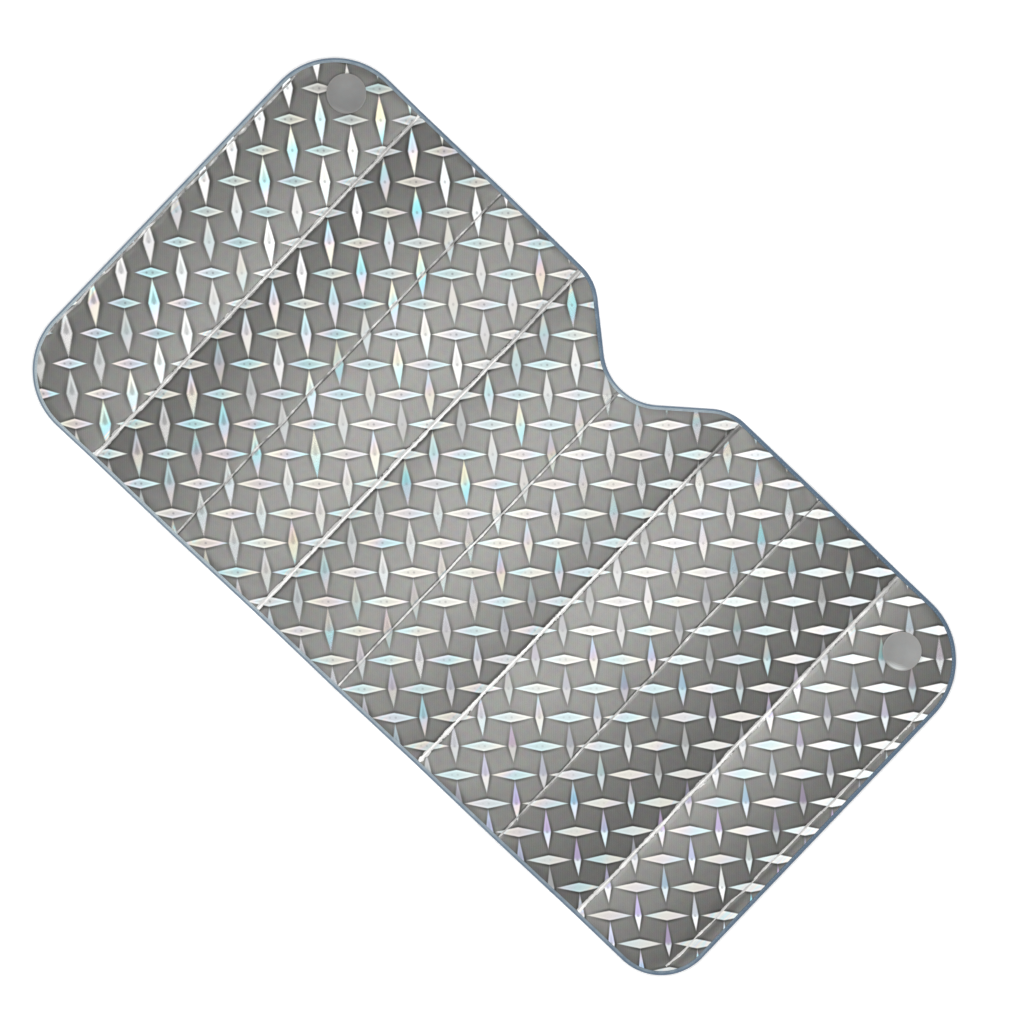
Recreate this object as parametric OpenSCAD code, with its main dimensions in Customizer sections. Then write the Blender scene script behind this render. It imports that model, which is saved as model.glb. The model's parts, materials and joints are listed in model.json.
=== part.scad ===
// Foil-faced foam pad that folds like an accordion into a flat stack, with a mirror notch
// in its top edge and a swivelling suction cup in each top corner.
// The pad lies on the floor, front up, in its slight resting zigzag.
// The origin is on the floor, under the middle fold, at half the pad's height.

/* [Pad] */
// Length of the pad with every fold opened flat, along X
pad_length = 1340; // [1330:1:1360]
// Height of the pad, along the folds, along Y
pad_height = 700; // [680:5:760]
// Thickness of a panel, both films included
pad_t = 5; // [4.8:0.1:5.6]
// Thickness of the film on each face
film_t = 0.3; // [0.2:0.05:0.4]
// Corner radius at the top left
corner_top_left = 112; // [90:1:125]
// Corner radius at the top right
corner_top_right = 117; // [90:1:125]
// Corner radius at the bottom left
corner_bottom_left = 110; // [80:1:125]
// Corner radius at the bottom right
corner_bottom_right = 84; // [70:1:125]

/* [Mirror notch] */
// How far the notch cuts down from the top edge
notch_depth = 91; // [80:1:100]
// Radius of the notch's round bottom
notch_r = 84; // [75:1:95]
// Radius of each shoulder beside the notch
shoulder_r = 80; // [70:1:90]
// Slope of the notch's straight flanks, in degrees
flank_angle = 40; // [36:1:44]

/* [Folds] */
// Distance between two neighbouring folds
fold_pitch = 163; // [160:0.5:165]
// Slope of each panel at rest, in degrees
rest_tilt = 3; // [2.5:0.1:3.5]
// Distance from a panel's face to the axis that it folds about
hinge_clear = 0.2; // [0.1:0.05:0.3]
// How far each panel stops short of its fold
edge_gap = 0.8; // [0.7:0.05:1]
// Radius of the bead of film welded along each fold
bead_r = 0.6; // [0.4:0.05:0.65]

/* [Edge binding] */
// Width of the tape seen on each face
bind_w = 8; // [6:0.5:10]
// Thickness of the bound edge, tape included
bind_t = 4; // [3.6:0.1:4.4]
// Thickness of the tape itself
tape_t = 0.7; // [0.5:0.1:0.9]

/* [Suction cups] */
// Radius of a cup at its rim
cup_r = 29; // [26:0.5:30]
// Height of the rim above the pad's front face
cup_h = 9; // [8:0.1:9.3]
// Width of the flat ring that presses on the glass
rim_w = 1.5; // [1:0.1:2]
// Distance from the pad's left edge to the left cup's centre
cup_from_left = 82; // [78:1:95]
// Distance from the pad's right edge to the right cup's centre
cup_from_right = 101; // [90:1:103]
// Distance from the top edge to the left cup's centre
cup_from_top_left = 58; // [56:1:100]
// Distance from the top edge to the right cup's centre
cup_from_top_right = 83; // [60:1:110]
// Inner radius of the eyelet that a cup turns in
eyelet_bore_r = 4.2; // [4:0.1:4.6]
// Outer radius of the eyelet's flange and of its washer
eyelet_flange_r = 9; // [8:0.5:10]

/* [Hidden] */
PANELS = 8;
MIDDLE_FOLD = 4;
half_length = pad_length / 2;
half_height = pad_height / 2;
arc_steps = 16;
round_fn = 96;
far = 2 * pad_length;

// the resting zigzag
hinge_rise = pad_t + 2 * hinge_clear;
rest_pitch = fold_pitch * cos(rest_tilt) + hinge_rise * sin(rest_tilt);
valley_z = (pad_t + hinge_clear) * cos(rest_tilt) - edge_gap * sin(rest_tilt);
crease_end_gap = 0.3;

// the bound edge
bind_z = (pad_t - bind_t) / 2;
tongue_z = bind_z + tape_t;
tongue_t = bind_t - 2 * tape_t;

// the eyelet and the cup's stem
running_gap = 0.08;
seat_gap = 0.05;
end_play = 0.15;
barrel_r = 6;
flange_t = 0.6;
stem_r = eyelet_bore_r - running_gap;
head_r = 7;
head_t = 2.2;
head_bevel = 0.8;

// the cup's bowl
bowl_z = pad_t + flange_t + end_play;
rim_z = pad_t + cup_h;
rim_t = 0.8;
hub_r = 9;
hub_t = 2.6;
floor_r = 6;
bowl_power = 1.6;
bowl_steps = 8;

foil_color = [0.62, 0.62, 0.63];
foam_color = [0.93, 0.93, 0.92];
back_color = [0.72, 0.73, 0.75];
bind_color = [0.42, 0.50, 0.58];
bead_color = [0.90, 0.90, 0.88];
metal_color = [0.75, 0.75, 0.77];
cup_color = [0.60, 0.60, 0.61];

function is_odd(i) = i % 2 == 1;
function fold_x(j) = (j - MIDDLE_FOLD) * fold_pitch;
function rest_x(j) = (j - MIDDLE_FOLD) * rest_pitch;
function cup_x(i) = i == 1 ? cup_from_left - half_length : half_length - cup_from_right;
function cup_y(i) = half_height - (i == 1 ? cup_from_top_left : cup_from_top_right);
function has_cup(i) = i == 1 || i == PANELS;

// points along an arc about [x, y], from angle a to angle b
function arc(x, y, r, a, b) = [
    for (k = [0:arc_steps])
        let (t = a + (b - a) * k / arc_steps)
            [x + r * cos(t), y + r * sin(t)]
];

// the shoulders sit where a straight flank joins the notch's bottom to both of them
notch_y = half_height - notch_depth + notch_r;
shoulder_y = half_height - shoulder_r;
flank_rise = shoulder_y - notch_y + (shoulder_r + notch_r) * cos(flank_angle);
shoulder_x = (notch_r + shoulder_r) * sin(flank_angle) + flank_rise / tan(flank_angle);

// the pad's outline laid flat, moved inwards by inset, counter-clockwise from the bottom right
function outline(inset) = concat(
    arc(half_length - corner_bottom_right, corner_bottom_right - half_height,
        corner_bottom_right - inset, -90, 0),
    arc(half_length - corner_top_right, half_height - corner_top_right,
        corner_top_right - inset, 0, 90),
    arc(shoulder_x, shoulder_y, shoulder_r - inset, 90, 90 + flank_angle),
    arc(0, notch_y, notch_r + inset, flank_angle - 90, -90 - flank_angle),
    arc(-shoulder_x, shoulder_y, shoulder_r - inset, 90 - flank_angle, 90),
    arc(corner_top_left - half_length, half_height - corner_top_left,
        corner_top_left - inset, 90, 180),
    arc(corner_bottom_left - half_length, corner_bottom_left - half_height,
        corner_bottom_left - inset, 180, 270)
);

// the strip of the flat pad that belongs to panel i, stopping short of its folds
module strip(i) {
    left = i == 1 ? -far : fold_x(i - 1) + edge_gap;
    right = i == PANELS ? far : fold_x(i) - edge_gap;
    translate([left, -far])
        square([right - left, 2 * far]);
}

// panel i's share of a flat sheet, inset from the pad's outline
module sheet(i, inset, z, t) {
    translate([0, 0, z])
        linear_extrude(t)
            intersection() {
                polygon(outline(inset));
                strip(i);
            }
}

// puts what is drawn for the flat pad where panel i lies at rest, by the valley fold it ends at
module lay(i) {
    valley = is_odd(i) ? i : i - 1;
    translate([rest_x(valley), 0, valley_z])
        rotate([0, is_odd(i) ? rest_tilt : -rest_tilt, 0])
            translate([-fold_x(valley), 0, -pad_t - hinge_clear])
                children();
}

// the hole through an end panel that the eyelet's barrel fills
module eyelet_hole(i) {
    if (has_cup(i))
        translate([cup_x(i), cup_y(i), -pad_t])
            cylinder(r = barrel_r + seat_gap, h = 3 * pad_t, $fn = round_fn);
}

module foam_core(i) {
    color(foam_color)
        lay(i)
            difference() {
                union() {
                    sheet(i, bind_w, film_t, pad_t - 2 * film_t);
                    sheet(i, tape_t, tongue_z, tongue_t);
                }
                eyelet_hole(i);
            }
}

module front_foil(i) {
    color(foil_color)
        lay(i)
            difference() {
                sheet(i, bind_w, pad_t - film_t, film_t);
                eyelet_hole(i);
            }
}

module back_film(i) {
    color(back_color)
        lay(i)
            difference() {
                sheet(i, bind_w, 0, film_t);
                eyelet_hole(i);
            }
}

// a tape folded round the edge: a ring with a slot that the foam's thin border fills
module edge_binding(i) {
    color(bind_color)
        lay(i)
            difference() {
                sheet(i, 0, bind_z, bind_t);
                sheet(i, bind_w, -pad_t, 3 * pad_t);
                sheet(i, tape_t, tongue_z, tongue_t);
            }
}

// the films welded together along fold j: a bead on the fold's axis and its lip on panel j
module fold_crease(j) {
    bead_z = is_odd(j) ? pad_t + hinge_clear : -hinge_clear;
    lip_z = is_odd(j) ? pad_t - film_t : 0;
    bottom = bind_w - half_height;
    top = half_height - bind_w - (j == MIDDLE_FOLD ? notch_depth : crease_end_gap);
    color(bead_color)
        lay(j)
            translate([fold_x(j), bottom, 0])
                union() {
                    translate([0, top - bottom, bead_z])
                        rotate([90, 0, 0])
                            cylinder(r = bead_r, h = top - bottom, $fn = round_fn);
                    translate([-edge_gap, 0, lip_z])
                        cube([edge_gap, top - bottom, film_t]);
                }
}

module eyelet(i) {
    color(metal_color)
        lay(i)
            translate([cup_x(i), cup_y(i), 0])
                rotate_extrude($fn = round_fn)
                    polygon([
                        [eyelet_bore_r, -flange_t],
                        [barrel_r, -flange_t],
                        [barrel_r, pad_t],
                        [eyelet_flange_r, pad_t],
                        [eyelet_flange_r, pad_t + flange_t],
                        [eyelet_bore_r, pad_t + flange_t]
                    ]);
}

module eyelet_washer(i) {
    color(metal_color)
        lay(i)
            translate([cup_x(i), cup_y(i), -flange_t])
                difference() {
                    cylinder(r = eyelet_flange_r, h = flange_t, $fn = round_fn);
                    translate([0, 0, -flange_t])
                        cylinder(r = barrel_r + seat_gap, h = 3 * flange_t, $fn = round_fn);
                }
}

// a curve from [r0, z0] to [r1, z1] that leaves flat and steepens, in bowl_steps steps
function bowl_curve(r0, z0, r1, z1) = [
    for (k = [0:bowl_steps])
        let (s = k / bowl_steps)
            [r0 + (r1 - r0) * s, z0 + (z1 - z0) * pow(s, bowl_power)]
];

// half of the cup's section: head behind the pad, stem in the eyelet, bowl open to the front
function cup_section() = concat(
    [
        [0, -flange_t - end_play - head_t],
        [head_r - head_bevel, -flange_t - end_play - head_t],
        [head_r, -flange_t - end_play - head_t + head_bevel],
        [head_r, -flange_t - end_play],
        [stem_r, -flange_t - end_play],
        [stem_r, bowl_z]
    ],
    bowl_curve(hub_r, bowl_z, cup_r, rim_z - rim_t),
    [[cup_r, rim_z]],
    [for (p = [bowl_steps:-1:0]) bowl_curve(floor_r, bowl_z + hub_t, cup_r - rim_w, rim_z)[p]],
    [[0, bowl_z + hub_t]]
);

module suction_cup(i) {
    color(cup_color)
        lay(i)
            translate([cup_x(i), cup_y(i), 0])
                rotate_extrude($fn = round_fn)
                    polygon(cup_section());
}

foam_core(1);  // foam_core_1
foam_core(2);  // foam_core_2
foam_core(3);  // foam_core_3
foam_core(4);  // foam_core_4
foam_core(5);  // foam_core_5
foam_core(6);  // foam_core_6
foam_core(7);  // foam_core_7
foam_core(8);  // foam_core_8
front_foil(1);  // front_foil_1
front_foil(2);  // front_foil_2
front_foil(3);  // front_foil_3
front_foil(4);  // front_foil_4
front_foil(5);  // front_foil_5
front_foil(6);  // front_foil_6
front_foil(7);  // front_foil_7
front_foil(8);  // front_foil_8
back_film(1);  // back_film_1
back_film(2);  // back_film_2
back_film(3);  // back_film_3
back_film(4);  // back_film_4
back_film(5);  // back_film_5
back_film(6);  // back_film_6
back_film(7);  // back_film_7
back_film(8);  // back_film_8
edge_binding(1);  // edge_binding_1
edge_binding(2);  // edge_binding_2
edge_binding(3);  // edge_binding_3
edge_binding(4);  // edge_binding_4
edge_binding(5);  // edge_binding_5
edge_binding(6);  // edge_binding_6
edge_binding(7);  // edge_binding_7
edge_binding(8);  // edge_binding_8
fold_crease(1);  // fold_crease_1
fold_crease(2);  // fold_crease_2
fold_crease(3);  // fold_crease_3
fold_crease(4);  // fold_crease_4
fold_crease(5);  // fold_crease_5
fold_crease(6);  // fold_crease_6
fold_crease(7);  // fold_crease_7
eyelet(1);  // eyelet_left
eyelet(PANELS);  // eyelet_right
eyelet_washer(1);  // eyelet_washer_left
eyelet_washer(PANELS);  // eyelet_washer_right
suction_cup(1);  // suction_cup_left
suction_cup(PANELS);  // suction_cup_right
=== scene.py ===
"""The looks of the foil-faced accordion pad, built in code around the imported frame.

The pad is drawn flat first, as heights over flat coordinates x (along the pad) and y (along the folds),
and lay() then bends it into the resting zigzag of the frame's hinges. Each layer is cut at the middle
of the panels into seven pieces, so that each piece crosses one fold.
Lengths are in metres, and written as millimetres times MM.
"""
import json
import math

import bpy
import numpy as np
from mathutils import Matrix, Vector


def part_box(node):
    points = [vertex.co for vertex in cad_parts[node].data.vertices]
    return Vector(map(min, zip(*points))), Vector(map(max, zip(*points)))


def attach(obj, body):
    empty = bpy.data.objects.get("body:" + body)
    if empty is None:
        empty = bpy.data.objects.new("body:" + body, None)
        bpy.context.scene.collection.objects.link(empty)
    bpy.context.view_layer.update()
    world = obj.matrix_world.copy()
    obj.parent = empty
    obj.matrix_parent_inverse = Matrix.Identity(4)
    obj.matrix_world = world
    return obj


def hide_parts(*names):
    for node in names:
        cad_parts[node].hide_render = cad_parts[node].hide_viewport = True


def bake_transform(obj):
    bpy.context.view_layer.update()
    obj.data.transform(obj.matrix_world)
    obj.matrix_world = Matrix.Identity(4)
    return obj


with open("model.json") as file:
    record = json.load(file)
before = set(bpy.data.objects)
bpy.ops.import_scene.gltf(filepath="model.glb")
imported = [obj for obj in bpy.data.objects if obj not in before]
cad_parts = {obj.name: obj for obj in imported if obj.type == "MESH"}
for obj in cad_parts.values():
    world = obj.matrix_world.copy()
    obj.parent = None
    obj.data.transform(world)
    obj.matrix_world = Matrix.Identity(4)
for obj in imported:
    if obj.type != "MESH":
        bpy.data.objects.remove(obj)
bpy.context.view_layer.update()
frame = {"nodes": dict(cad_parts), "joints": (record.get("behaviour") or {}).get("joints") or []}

MM = 0.001

# ---- the design, as in the CAD part ----
PANELS = 8
FOLDS = PANELS - 1
MIDDLE_FOLD = 4
HALF_LENGTH = 670 * MM
HALF_HEIGHT = 350 * MM
PITCH = 163 * MM
PAD_T = 5 * MM
HINGE_CLEAR = 0.2 * MM
CORNER_TOP_LEFT = 112 * MM
CORNER_TOP_RIGHT = 117 * MM
CORNER_BOTTOM_LEFT = 110 * MM
CORNER_BOTTOM_RIGHT = 84 * MM
NOTCH_DEPTH = 91 * MM
NOTCH_R = 84 * MM
SHOULDER_R = 80 * MM
FLANK = math.radians(40)
BIND_W = 6.4 * MM           # the tape shows this wide; the CAD allows 8

# ---- the soft shape ----
CROWN = 2.1 * MM            # how far a panel's front falls from its middle to its folds
BACK_ARCH = 0.7 * MM        # how far a panel's back rises in its middle
NOSE_RISE = 0.5 * MM        # the back is pressed in this much behind a valley fold
NOSE_HALF = 7 * MM
VALLEY_GROOVE = (1.25 * MM, 4.8 * MM)   # depth and half width of the front groove at a valley fold
RIDGE_GROOVE = (0.55 * MM, 2.9 * MM)    # the same at a ridge fold, and at the creases by the side edges
BACK_GROOVE = (1.0 * MM, 4.0 * MM)      # the groove in the back at a ridge fold
SIDE_CREASE = {-1: 660.5 * MM, 1: 649 * MM}     # how far out the crease by each side edge runs
SIDE_CREASE_LEAN = {-1: -3 * MM, 1: 17 * MM}    # how much further out its top is than its bottom
DENTS = [                   # x, y, reach and depth
    (-236 * MM, -308 * MM, 16 * MM, 0.55 * MM),
    (-91 * MM, -322 * MM, 13 * MM, 0.45 * MM),
]
PUCKER_LIMIT = 0.35 * MM    # the film's puckers are cut off at this height
PUCKER_SINK = 0.15 * MM     # and lie this much lower, so that the film stays inside the CAD's surface
BEND = 3 * MM               # half width of the stretch over which the pad turns from one panel's tilt to the next
FILM_T = 0.22 * MM
EDGE_HALF = 1.1 * MM        # half the pad's thickness where the tape grips it
EDGE_MIDDLE = 2.3 * MM      # the height of its middle there
SQUEEZE = 18 * MM           # how far in from the edge the pad starts to thin
FILM_INSET = 1.2 * MM       # how far the layers stop inside the outline
TAPE_T = 0.45 * MM

joint = {j["name"]: j for j in frame["joints"]}
HINGE_X = np.array([joint[f"fold_{k}"]["pos_m"][0] for k in range(1, FOLDS + 1)])
HINGE_Z = np.array([joint[f"fold_{k}"]["pos_m"][2] for k in range(1, FOLDS + 1)])
TILT = math.asin(joint["cup_left_swivel"]["axis"][0])


def smooth(t):
    t = np.clip(t, 0, 1)
    return t * t * (3 - 2 * t)


def fold_x(k):
    return (k - MIDDLE_FOLD) * PITCH


def nearest_fold(x):
    return np.clip(np.rint(x / PITCH) + MIDDLE_FOLD, 1, FOLDS).astype(int)


def lay(x, y, z):
    """Points of the flat pad, taken to their places in the resting zigzag."""
    k = nearest_fold(x)
    valley = k % 2 == 1
    dx = x - (k - MIDDLE_FOLD) * PITCH
    dz = z - np.where(valley, PAD_T + HINGE_CLEAR, -HINGE_CLEAR)
    turn = smooth(dx / (2 * BEND) + 0.5)
    a = np.where(valley, TILT, -TILT) * (1 - 2 * turn)
    return np.stack([
        HINGE_X[k - 1] + dx * np.cos(a) + dz * np.sin(a),
        y,
        HINGE_Z[k - 1] - dx * np.sin(a) + dz * np.cos(a),
    ], axis=-1)


# ---- noise that is the same on each run ----

def ripple(x, y, wavelength, seed, waves=14):
    """A smooth random field of about unit height, from plane waves of about one wavelength."""
    rng = np.random.default_rng(seed)
    total = np.zeros(np.broadcast(x, y).shape)
    for _ in range(waves):
        heading = rng.uniform(0, 2 * math.pi)
        k = 2 * math.pi / (wavelength * rng.uniform(0.65, 1.5))
        phase = rng.uniform(0, 2 * math.pi)
        total += np.sin(k * (x * math.cos(heading) + y * math.sin(heading)) + phase)
    return total / math.sqrt(waves / 2)


# ---- the outline ----

NOTCH_Y = HALF_HEIGHT - NOTCH_DEPTH + NOTCH_R
SHOULDER_Y = HALF_HEIGHT - SHOULDER_R
FLANK_RISE = SHOULDER_Y - NOTCH_Y + (SHOULDER_R + NOTCH_R) * math.cos(FLANK)
SHOULDER_X = (NOTCH_R + SHOULDER_R) * math.sin(FLANK) + FLANK_RISE / math.tan(FLANK)
FLANK_DEG = math.degrees(FLANK)
# centre, radius (negative where the outline curves inwards), start and end angle, counter-clockwise
ARCS = [
    (HALF_LENGTH - CORNER_BOTTOM_RIGHT, CORNER_BOTTOM_RIGHT - HALF_HEIGHT, CORNER_BOTTOM_RIGHT, -90, 0),
    (HALF_LENGTH - CORNER_TOP_RIGHT, HALF_HEIGHT - CORNER_TOP_RIGHT, CORNER_TOP_RIGHT, 0, 90),
    (SHOULDER_X, SHOULDER_Y, SHOULDER_R, 90, 90 + FLANK_DEG),
    (0, NOTCH_Y, -NOTCH_R, FLANK_DEG - 90, -90 - FLANK_DEG),
    (-SHOULDER_X, SHOULDER_Y, SHOULDER_R, 90 - FLANK_DEG, 90),
    (CORNER_TOP_LEFT - HALF_LENGTH, HALF_HEIGHT - CORNER_TOP_LEFT, CORNER_TOP_LEFT, 90, 180),
    (CORNER_BOTTOM_LEFT - HALF_LENGTH, CORNER_BOTTOM_LEFT - HALF_HEIGHT, CORNER_BOTTOM_LEFT, 180, 270),
]


def outline(step, breaks=()):
    """Points about step apart round the outline, one of them at each x in breaks, and their normals."""
    points, normals = [], []
    for n, (cx, cy, r, a0, a1) in enumerate(ARCS):
        count = max(4, round(abs(r) * math.radians(abs(a1 - a0)) / step))
        for i in range(count + 1):
            a = math.radians(a0 + (a1 - a0) * i / count)
            points.append((cx + abs(r) * math.cos(a), cy + abs(r) * math.sin(a)))
            side = 1 if r > 0 else -1
            normals.append((side * math.cos(a), side * math.sin(a)))
        # the straight run to the next arc
        next_x, next_y, next_r, next_start, _ = ARCS[(n + 1) % len(ARCS)]
        a = math.radians(next_start)
        start = np.array(points[-1])
        end = np.array([next_x + abs(next_r) * math.cos(a), next_y + abs(next_r) * math.sin(a)])
        run = end - start
        pieces = max(1, round(np.linalg.norm(run) / step))
        shares = {i / pieces for i in range(1, pieces)}
        if abs(run[0]) > step:
            crossings = [(b - start[0]) / run[0] for b in breaks]
            shares |= {share for share in crossings if 0 < share < 1}
        for share in sorted(shares):
            points.append(tuple(start + run * share))
            normals.append(normals[-1])
    return np.array(points), np.array(normals)


RIM = outline(3 * MM)[0]


def edge_distance(x, y):
    """How far each point is inside the outline."""
    flat = np.stack([np.ravel(x), np.ravel(y)], axis=-1)
    best = np.full(len(flat), 1e9)
    a, b = RIM, np.roll(RIM, -1, axis=0)
    run = b - a
    length2 = (run ** 2).sum(1)
    for i in range(len(a)):
        t = np.clip(((flat - a[i]) @ run[i]) / max(length2[i], 1e-12), 0, 1)
        d = flat - a[i] - t[:, None] * run[i]
        best = np.minimum(best, np.einsum("ij,ij->i", d, d))
    return np.sqrt(best).reshape(np.shape(x))


def span(x, inset):
    """The lowest and highest y of the pad at each x, for the outline moved in by inset."""
    low = np.full(np.shape(x), -HALF_HEIGHT + inset)
    high = np.full(np.shape(x), HALF_HEIGHT - inset)
    for arc, side, top in [(0, 1, False), (1, 1, True), (5, -1, True), (6, -1, False)]:
        cx, cy, r = ARCS[arc][:3]
        out = np.clip(side * (x - cx), 0, r - inset)
        bow = np.sqrt(np.maximum((r - inset) ** 2 - out ** 2, 0))
        past = side * (x - cx) > 0
        if top:
            high = np.where(past, np.minimum(high, cy + bow), high)
        else:
            low = np.where(past, np.maximum(low, cy - bow), low)
    ax = np.abs(x)
    shoulder = SHOULDER_Y + np.sqrt(np.maximum((SHOULDER_R - inset) ** 2 - (ax - SHOULDER_X) ** 2, 0))
    bottom = NOTCH_Y - np.sqrt(np.maximum((NOTCH_R + inset) ** 2 - ax ** 2, 0))
    x_low = (NOTCH_R + inset) * math.sin(FLANK)
    x_high = SHOULDER_X - (SHOULDER_R - inset) * math.sin(FLANK)
    y_low = NOTCH_Y - (NOTCH_R + inset) * math.cos(FLANK)
    flank = y_low + (ax - x_low) * math.tan(FLANK)
    notch = np.where(ax < x_low, bottom, np.where(ax < x_high, flank, shoulder))
    return low, np.where(ax < SHOULDER_X, notch, high)


# ---- the front film as cloth ----

SHEET_STEP = 9 * MM
SHEET_FRAMES = 20
SHEET_GROWTH = 0.004        # the film is this much too large for what holds it
SHEET_HEM = 11 * MM         # the tape holds it this far in
SHEET_SLOPE = 0.008         # its puckers are scaled to this mean slope, as foam is glued behind it


def grid_faces(nx, ny, start=0, flip=False):
    faces = []
    for i in range(nx - 1):
        for j in range(ny - 1):
            a = start + i * ny + j
            f = (a, a + ny, a + ny + 1, a + 1)
            faces.append(f[::-1] if flip else f)
    return faces


def settle(points, faces, held):
    """The points after a short cloth simulation in which the held ones stay put."""
    scene = bpy.context.scene
    mesh = bpy.data.meshes.new("sheet")
    mesh.from_pydata(points.tolist(), [], faces)
    sheet = bpy.data.objects.new("sheet", mesh)
    scene.collection.objects.link(sheet)
    sheet.vertex_groups.new(name="held").add(held.tolist(), 1.0, "REPLACE")
    cloth = sheet.modifiers.new("cloth", "CLOTH")
    cloth.settings.vertex_group_mass = "held"
    cloth.settings.quality = 5
    cloth.settings.mass = 0.05
    cloth.settings.bending_stiffness = 0.5
    cloth.settings.air_damping = 4
    cloth.settings.shrink_min = -SHEET_GROWTH
    cloth.settings.effector_weights.gravity = 0
    cloth.collision_settings.use_collision = False
    cloth.point_cache.frame_start = 1
    cloth.point_cache.frame_end = SHEET_FRAMES
    for number in range(1, SHEET_FRAMES + 1):
        scene.frame_set(number)
    settled = sheet.evaluated_get(bpy.context.evaluated_depsgraph_get())
    result = np.zeros(len(points) * 3)
    settled.data.vertices.foreach_get("co", result)
    bpy.data.objects.remove(sheet)
    bpy.data.meshes.remove(mesh)
    scene.frame_set(1)
    return result.reshape(-1, 3)


def pucker_field():
    """Puckers of the whole front film, laid flat, as heights on a grid SHEET_STEP wide."""
    nx = 2 * round(HALF_LENGTH / SHEET_STEP) + 1
    ny = 2 * round(HALF_HEIGHT / SHEET_STEP) + 1
    x = (np.arange(nx) - nx // 2)[:, None] * SHEET_STEP + np.zeros((1, ny))
    y = (np.arange(ny) - ny // 2)[None, :] * SHEET_STEP + np.zeros((nx, 1))
    start = 0.4 * MM * ripple(x, y, 70 * MM, 5)
    low, high = span(x, 0.0)
    held = (y < low) | (y > high) | (edge_distance(x, y) < SHEET_HEM)
    held |= np.abs(x - fold_x(nearest_fold(x))) < SHEET_STEP / 2
    start[held] = 0
    points = np.stack([x, y, start], axis=-1).reshape(-1, 3)
    height = settle(points, grid_faces(nx, ny), np.nonzero(held.ravel())[0])[:, 2].reshape(nx, ny)
    slope = np.hypot(*np.gradient(height, SHEET_STEP))
    return height * SHEET_SLOPE / slope[~held].mean()


PUCKERS = pucker_field()


def puckers(x, y):
    """The pucker height at flat points, by a cubic B-spline through the grid."""
    nx, ny = PUCKERS.shape
    i, j = x / SHEET_STEP + nx // 2, y / SHEET_STEP + ny // 2
    i0, j0 = np.floor(i).astype(int), np.floor(j).astype(int)

    def weights(t):
        return (
            (1 - t) ** 3 / 6,
            (3 * t ** 3 - 6 * t ** 2 + 4) / 6,
            (1 + 3 * t + 3 * t ** 2 - 3 * t ** 3) / 6,
            t ** 3 / 6,
        )

    total = np.zeros(np.shape(x))
    for di, wi in enumerate(weights(i - i0)):
        for dj, wj in enumerate(weights(j - j0)):
            a = np.clip(i0 + di - 1, 0, nx - 1)
            b = np.clip(j0 + dj - 1, 0, ny - 1)
            total += wi * wj * PUCKERS[a, b]
    return total


# ---- heights of the pad's front and back over the flat pad ----

EYELETS = []
for side in ("left", "right"):
    low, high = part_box(f"eyelet_{side}")
    centre = (low + high) / 2
    fold = 1 if side == "left" else FOLDS
    reach = (centre.x - HINGE_X[fold - 1]) / math.cos(TILT)
    EYELETS.append((fold_x(fold) + reach, centre.y))


def groove(d, shape, rounding=0.5 * MM):
    """A V with a round bottom: 0 outside its half width, -depth at its middle."""
    depth, half = shape
    r = np.sqrt(d ** 2 + rounding ** 2) - rounding
    return -depth * smooth(1 - r / half) ** 0.8


def panel_share(x):
    """-1 at the fold on a panel's left, 0 at its middle and 1 at the fold on its right."""
    n = np.clip(np.floor(x / PITCH), -MIDDLE_FOLD, MIDDLE_FOLD - 1)
    return (x / PITCH - n) * 2 - 1


def fold_wander(y, k):
    """How far fold k's groove strays from its hinge line, and how deep it is there."""
    return 0.35 * MM * ripple(0, y, 80 * MM, 40 + k), 1 + 0.14 * ripple(0, y, 36 * MM, 60 + k)


def heights(x, y, inside):
    """Front and back heights over the flat pad. inside is the distance to the outline."""
    u = np.abs(panel_share(x))
    past = np.maximum(u - 1, 0)
    arch = np.minimum(u, 1) ** 2
    front = PAD_T - CROWN * (arch + 2 * past)
    back = BACK_ARCH * (1 - arch) - 2 * CROWN * past
    k = nearest_fold(x)
    d = x - (k - MIDDLE_FOLD) * PITCH
    for fold in range(1, FOLDS + 1):
        here = k == fold
        stray, strength = fold_wander(y, fold)
        off = d - stray
        if fold % 2 == 1:
            front = front + np.where(here, strength * groove(off, VALLEY_GROOVE), 0)
            back = back + np.where(here, NOSE_RISE * smooth(1 - np.abs(d) / NOSE_HALF), 0)
        else:
            front = front + np.where(here, strength * groove(off, RIDGE_GROOVE), 0)
            back = back - np.where(here, strength * groove(off, BACK_GROOVE), 0)
    for side in (-1, 1):
        front = front + groove(x - side_crease_x(y, side), RIDGE_GROOVE)
    # the film's own unevenness, which dies away at the folds and under the tape
    calm = smooth((inside - 6 * MM) / (20 * MM)) * (1 - 0.6 * arch)
    front = front + calm * (np.clip(puckers(x, y), -PUCKER_LIMIT, PUCKER_LIMIT) - PUCKER_SINK)
    back = back + calm * (0.10 * MM * ripple(x, y, 120 * MM, 7) + 0.12 * MM)
    # puckers where the tape pulls on the film, and a few dents from handling
    pull = np.exp(-((inside - 12 * MM) / (9 * MM)) ** 2)
    front = front + 0.07 * MM * pull * ripple(x, y, 17 * MM, 8)
    for dent_x, dent_y, reach, depth in DENTS:
        front = front - depth * np.exp(-((x - dent_x) ** 2 + (y - dent_y) ** 2) / reach ** 2)
    # the eyelets pinch the pad to its nominal thickness
    for ex, ey in EYELETS:
        r = np.hypot(x - ex, y - ey)
        pinch = np.exp(-(r / (15 * MM)) ** 2)
        front = front + (PAD_T - 0.05 * MM - front) * pinch
        back = back * (1 - pinch)
    half = (front - back) / 2
    rest_middle = (front + back) / 2
    grip = smooth(1 - inside / SQUEEZE)
    middle = rest_middle + (EDGE_MIDDLE - rest_middle) * grip
    gripped = np.minimum(half, EDGE_HALF)
    grow = 1 - (1 - np.clip(inside / SQUEEZE, 0, 1)) ** 2
    half = gripped + (half - gripped) * grow
    return middle + half, middle - half


# ---- meshes ----

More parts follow.
